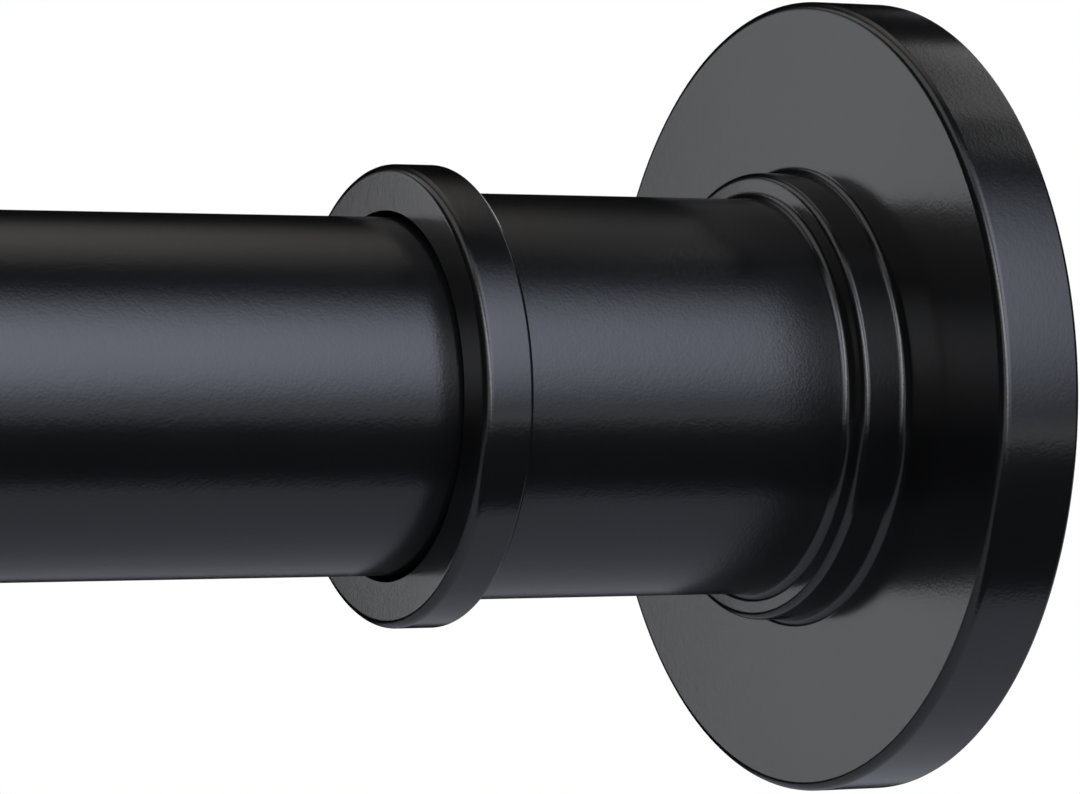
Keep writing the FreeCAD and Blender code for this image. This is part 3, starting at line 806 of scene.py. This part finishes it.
def soft_light(name, strength, rgb, soft_across, soft_up):
    """A glow that fades from a share of the board's half width and half height to its edges.

    A share across below 0 lets it fade to one side only, from that place of its half width.
    """

    def surface(nodes):
        parts = nodes.add("ShaderNodeSeparateXYZ", None, {"Vector": nodes.place()})
        fade = None
        for axis, soft_from in (("X", soft_across), ("Y", soft_up)):
            across = Wire(nodes, parts.socket.node.outputs[axis])
            across = 0.0 - across if soft_from < 0.0 else abs(across)
            edge = 1.0 - nodes.smooth(across, soft_from, 1.0)
            fade = edge if fade is None else fade * edge
        shade = nodes.blend(fade, (0.0, 0.0, 0.0, 1.0), tone(rgb))
        return nodes.add("ShaderNodeEmission", None, {"Color": shade, "Strength": strength})

    return new_material(name, surface)


class TENSION_ROD_OT_stage(bpy.types.Operator):
    """Set up the camera, the floor, the background, the lights and the black boards"""

    bl_idname = "tension_rod.stage"
    bl_label = "Studio"

    def execute(self, context):
        self.add_camera(context)
        self.add_floor()
        self.add_background(context)
        self.add_lights()
        self.add_black_boards()
        context.scene.view_settings.view_transform = "Standard"
        return {"FINISHED"}

    def add_camera(self, context):
        """The photograph's view: level, 0.3 m from the spring end."""
        place, turn = (0.2849, -0.2675, -0.00004), math.radians(27.13)
        picture_width, focal_pixels, sensor = 1080, 4768.98, 36.0
        object_mode()
        bpy.ops.object.camera_add(location=place)
        camera = bpy.context.object
        camera.name = "studio_camera"
        ahead = Vector((math.sin(turn), math.cos(turn), 0.0))
        camera.rotation_mode = "QUATERNION"
        camera.rotation_quaternion = ahead.to_track_quat("-Z", "Y")
        camera.data.sensor_width = sensor
        camera.data.lens = focal_pixels * sensor / picture_width
        camera.data.clip_start = 0.01
        camera.data.clip_end = 50.0
        context.scene.camera = camera

    def add_floor(self):
        """A pale floor that fades into the white background far from the rod."""
        studio = rod_studio()
        facets, radius = 128, 4.0
        white_from, white_all, least_white = 0.45, 1.2, 0.55
        object_mode()
        bpy.ops.mesh.primitive_circle_add(
            vertices=facets, radius=radius, fill_type="NGON",
            location=((WALL_LEFT + WALL_RIGHT) / 2, 0, -studio.floor_depth),
        )
        floor = bpy.context.object
        floor.name = "studio_floor"

        def surface(nodes):
            away = nodes.add(
                "ShaderNodeVectorMath", {"operation": "LENGTH"}, {0: nodes.place()}, output="Value"
            )
            far = nodes.smooth(away, white_from, white_all) * seen_directly(nodes)
            camera_ray = nodes.add("ShaderNodeLightPath", output="Is Camera Ray")
            fade = far.at_least(camera_ray * least_white)
            pale = nodes.add("ShaderNodeBsdfDiffuse", None, {"Color": tone(studio.floor_colour)})
            white = nodes.add("ShaderNodeEmission", None, {"Strength": 1.0})
            return nodes.add("ShaderNodeMixShader", None, {0: fade, 1: pale, 2: white})

        floor.data.materials.append(new_material("pale_floor", surface))
        floor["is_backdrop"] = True

    def add_background(self, context):
        """White where it is seen, and a weaker sky on matt surfaces."""
        world = bpy.data.worlds.new("studio_background")
        context.scene.world = world
        world.use_nodes = True
        nodes = Nodes(world.node_tree)
        direct = seen_directly(nodes)
        ambient = rod_studio().ambient
        sky = nodes.add(
            "ShaderNodeBackground", None,
            {"Color": (1, 1, 1, 1), "Strength": ambient + direct * (1.0 - ambient)},
        )
        nodes.add("ShaderNodeOutputWorld", None, {"Surface": sky})

    def add_lights(self):
        """Soft boards round the spring end, each at a place counted from its middle."""
        studio = rod_studio()
        middle = Vector((0.41, 0, 0))
        cool, neutral, warm = (0.78, 0.835, 1), (0.95, 0.96, 1), (1, 0.95, 0.88)
        for name, at, aim, size, strength, rgb, soft, roll, lit in (
            (
                "key_light", (0.554, -0.84, 0.45), 0.554, (1.313, 1.8),
                studio.key, cool, (-0.62, 0.1), 0, True,
            ),
            (
                "front_light", (-0.30, -0.668, 0.24), 0, (0.35, 1.35),
                studio.front, neutral, (0.5, 0.1), -34, True,
            ),
            (
                "top_light", (0.15, 0.3, 0.9), 0.15, (0.92, 1.29),
                studio.top, warm, (0.35, 0), 0, True,
            ),
            (
                "rear_light", (-0.49, 0.8, 0), 0, (0.25, 0.9),
                studio.rear, neutral, (0.7, 0.3), 0, False,
            ),
            (
                "back_light", (0.79, 0.7, 0.33), 0, (0.5, 0.45),
                studio.back, neutral, (0.2, 0.1), 0, False,
            ),
        ):
            glow = soft_light(name, strength, rgb, *soft)
            board = card(name, middle + Vector(at), middle + Vector((aim, 0, 0)), *size, glow, lit)
            board.rotation_quaternion @= Quaternion((0.0, 0.0, 1.0), math.radians(roll))

    def add_black_boards(self):
        """Flat boards from a low to a high corner, which keep the gloss dark."""

        def surface(nodes):
            return nodes.add("ShaderNodeEmission", None, {"Color": (0, 0, 0, 1), "Strength": 0.0})

        black = new_material("black_board", surface)
        for name, low, high in (
            ("board_behind", (0.0, 0.95, -0.15), (2.4, 0.95, 1.4)),
            ("board_right", (1.5, -1.0, -0.15), (1.5, 0.95, 1.0)),
            ("board_above", (0.0, -0.3, 0.86), (1.0, -0.05, 0.86)),
            ("board_above_right", (1.0, -0.42, 0.86), (1.8, -0.25, 0.86)),
            ("board_low", (0.0, -0.6, -0.145), (1.6, -0.10, -0.145)),
            ("board_low_behind", (0.0, 0.3, -0.145), (2.4, 0.95, -0.145)),
            ("board_left", (-0.35, -0.5, -0.15), (-0.35, 0.95, 0.7)),
        ):
            object_mode()
            low, high = Vector(low), Vector(high)
            bpy.ops.mesh.primitive_plane_add(size=1.0, location=(low + high) / 2)
            board = bpy.context.object
            span = high - low
            if span.x == 0:
                board.rotation_euler = (0, QUARTER_TURN, 0)
                board.scale = (span.z, span.y, 1)
            elif span.y == 0:
                board.rotation_euler = (QUARTER_TURN, 0, 0)
                board.scale = (span.x, span.z, 1)
            else:
                board.scale = (span.x, span.y, 1)
            put_on_stage(board, name, black, False)


OPERATORS = (
    TENSION_ROD_OT_stage,
    TENSION_ROD_OT_tubes,
    TENSION_ROD_OT_flanges,
    TENSION_ROD_OT_end_rings,
    TENSION_ROD_OT_pads,
    TENSION_ROD_OT_spring,
    TENSION_ROD_OT_fittings,
)


class TENSION_ROD_PT_panel(bpy.types.Panel):
    """Lists the rod's operators and its settings"""

    bl_label = "Spring Tension Rod"
    bl_idname = "TENSION_ROD_PT_panel"
    bl_space_type = "VIEW_3D"
    bl_region_type = "UI"
    bl_category = "Tension Rod"

    def draw(self, context):
        layout = self.layout
        for operator in OPERATORS:
            layout.operator(operator.bl_idname)
        for group in (rod_sizes(), rod_finishes(), rod_studio()):
            box = layout.box()
            for name in group.bl_rna.properties.keys():
                if name not in ("name", "rna_type"):
                    box.prop(group, name)


GROUPS = (
    ("tension_rod_sizes", TensionRodSizes),
    ("tension_rod_finishes", TensionRodFinishes),
    ("tension_rod_studio", TensionRodStudio),
)


def register():
    for name, group in GROUPS:
        bpy.utils.register_class(group)
        setattr(bpy.types.Scene, name, PointerProperty(type=group))
    for cls in (*OPERATORS, TENSION_ROD_PT_panel):
        bpy.utils.register_class(cls)


def unregister():
    for cls in reversed((*OPERATORS, TENSION_ROD_PT_panel)):
        bpy.utils.unregister_class(cls)
    for name, group in reversed(GROUPS):
        delattr(bpy.types.Scene, name)
        bpy.utils.unregister_class(group)


def main():
    register()
    bpy.ops.tension_rod.stage()
    bpy.ops.tension_rod.tubes()
    bpy.ops.tension_rod.flanges()
    bpy.ops.tension_rod.end_rings()
    bpy.ops.tension_rod.pads()
    bpy.ops.tension_rod.spring()
    bpy.ops.tension_rod.fittings()
    boxes = {"cad": SOLIDS_BOX, "visual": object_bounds()}
    {name: [list(corner) for corner in box] for name, box in boxes.items()}


if __name__ == "__main__":
    main()
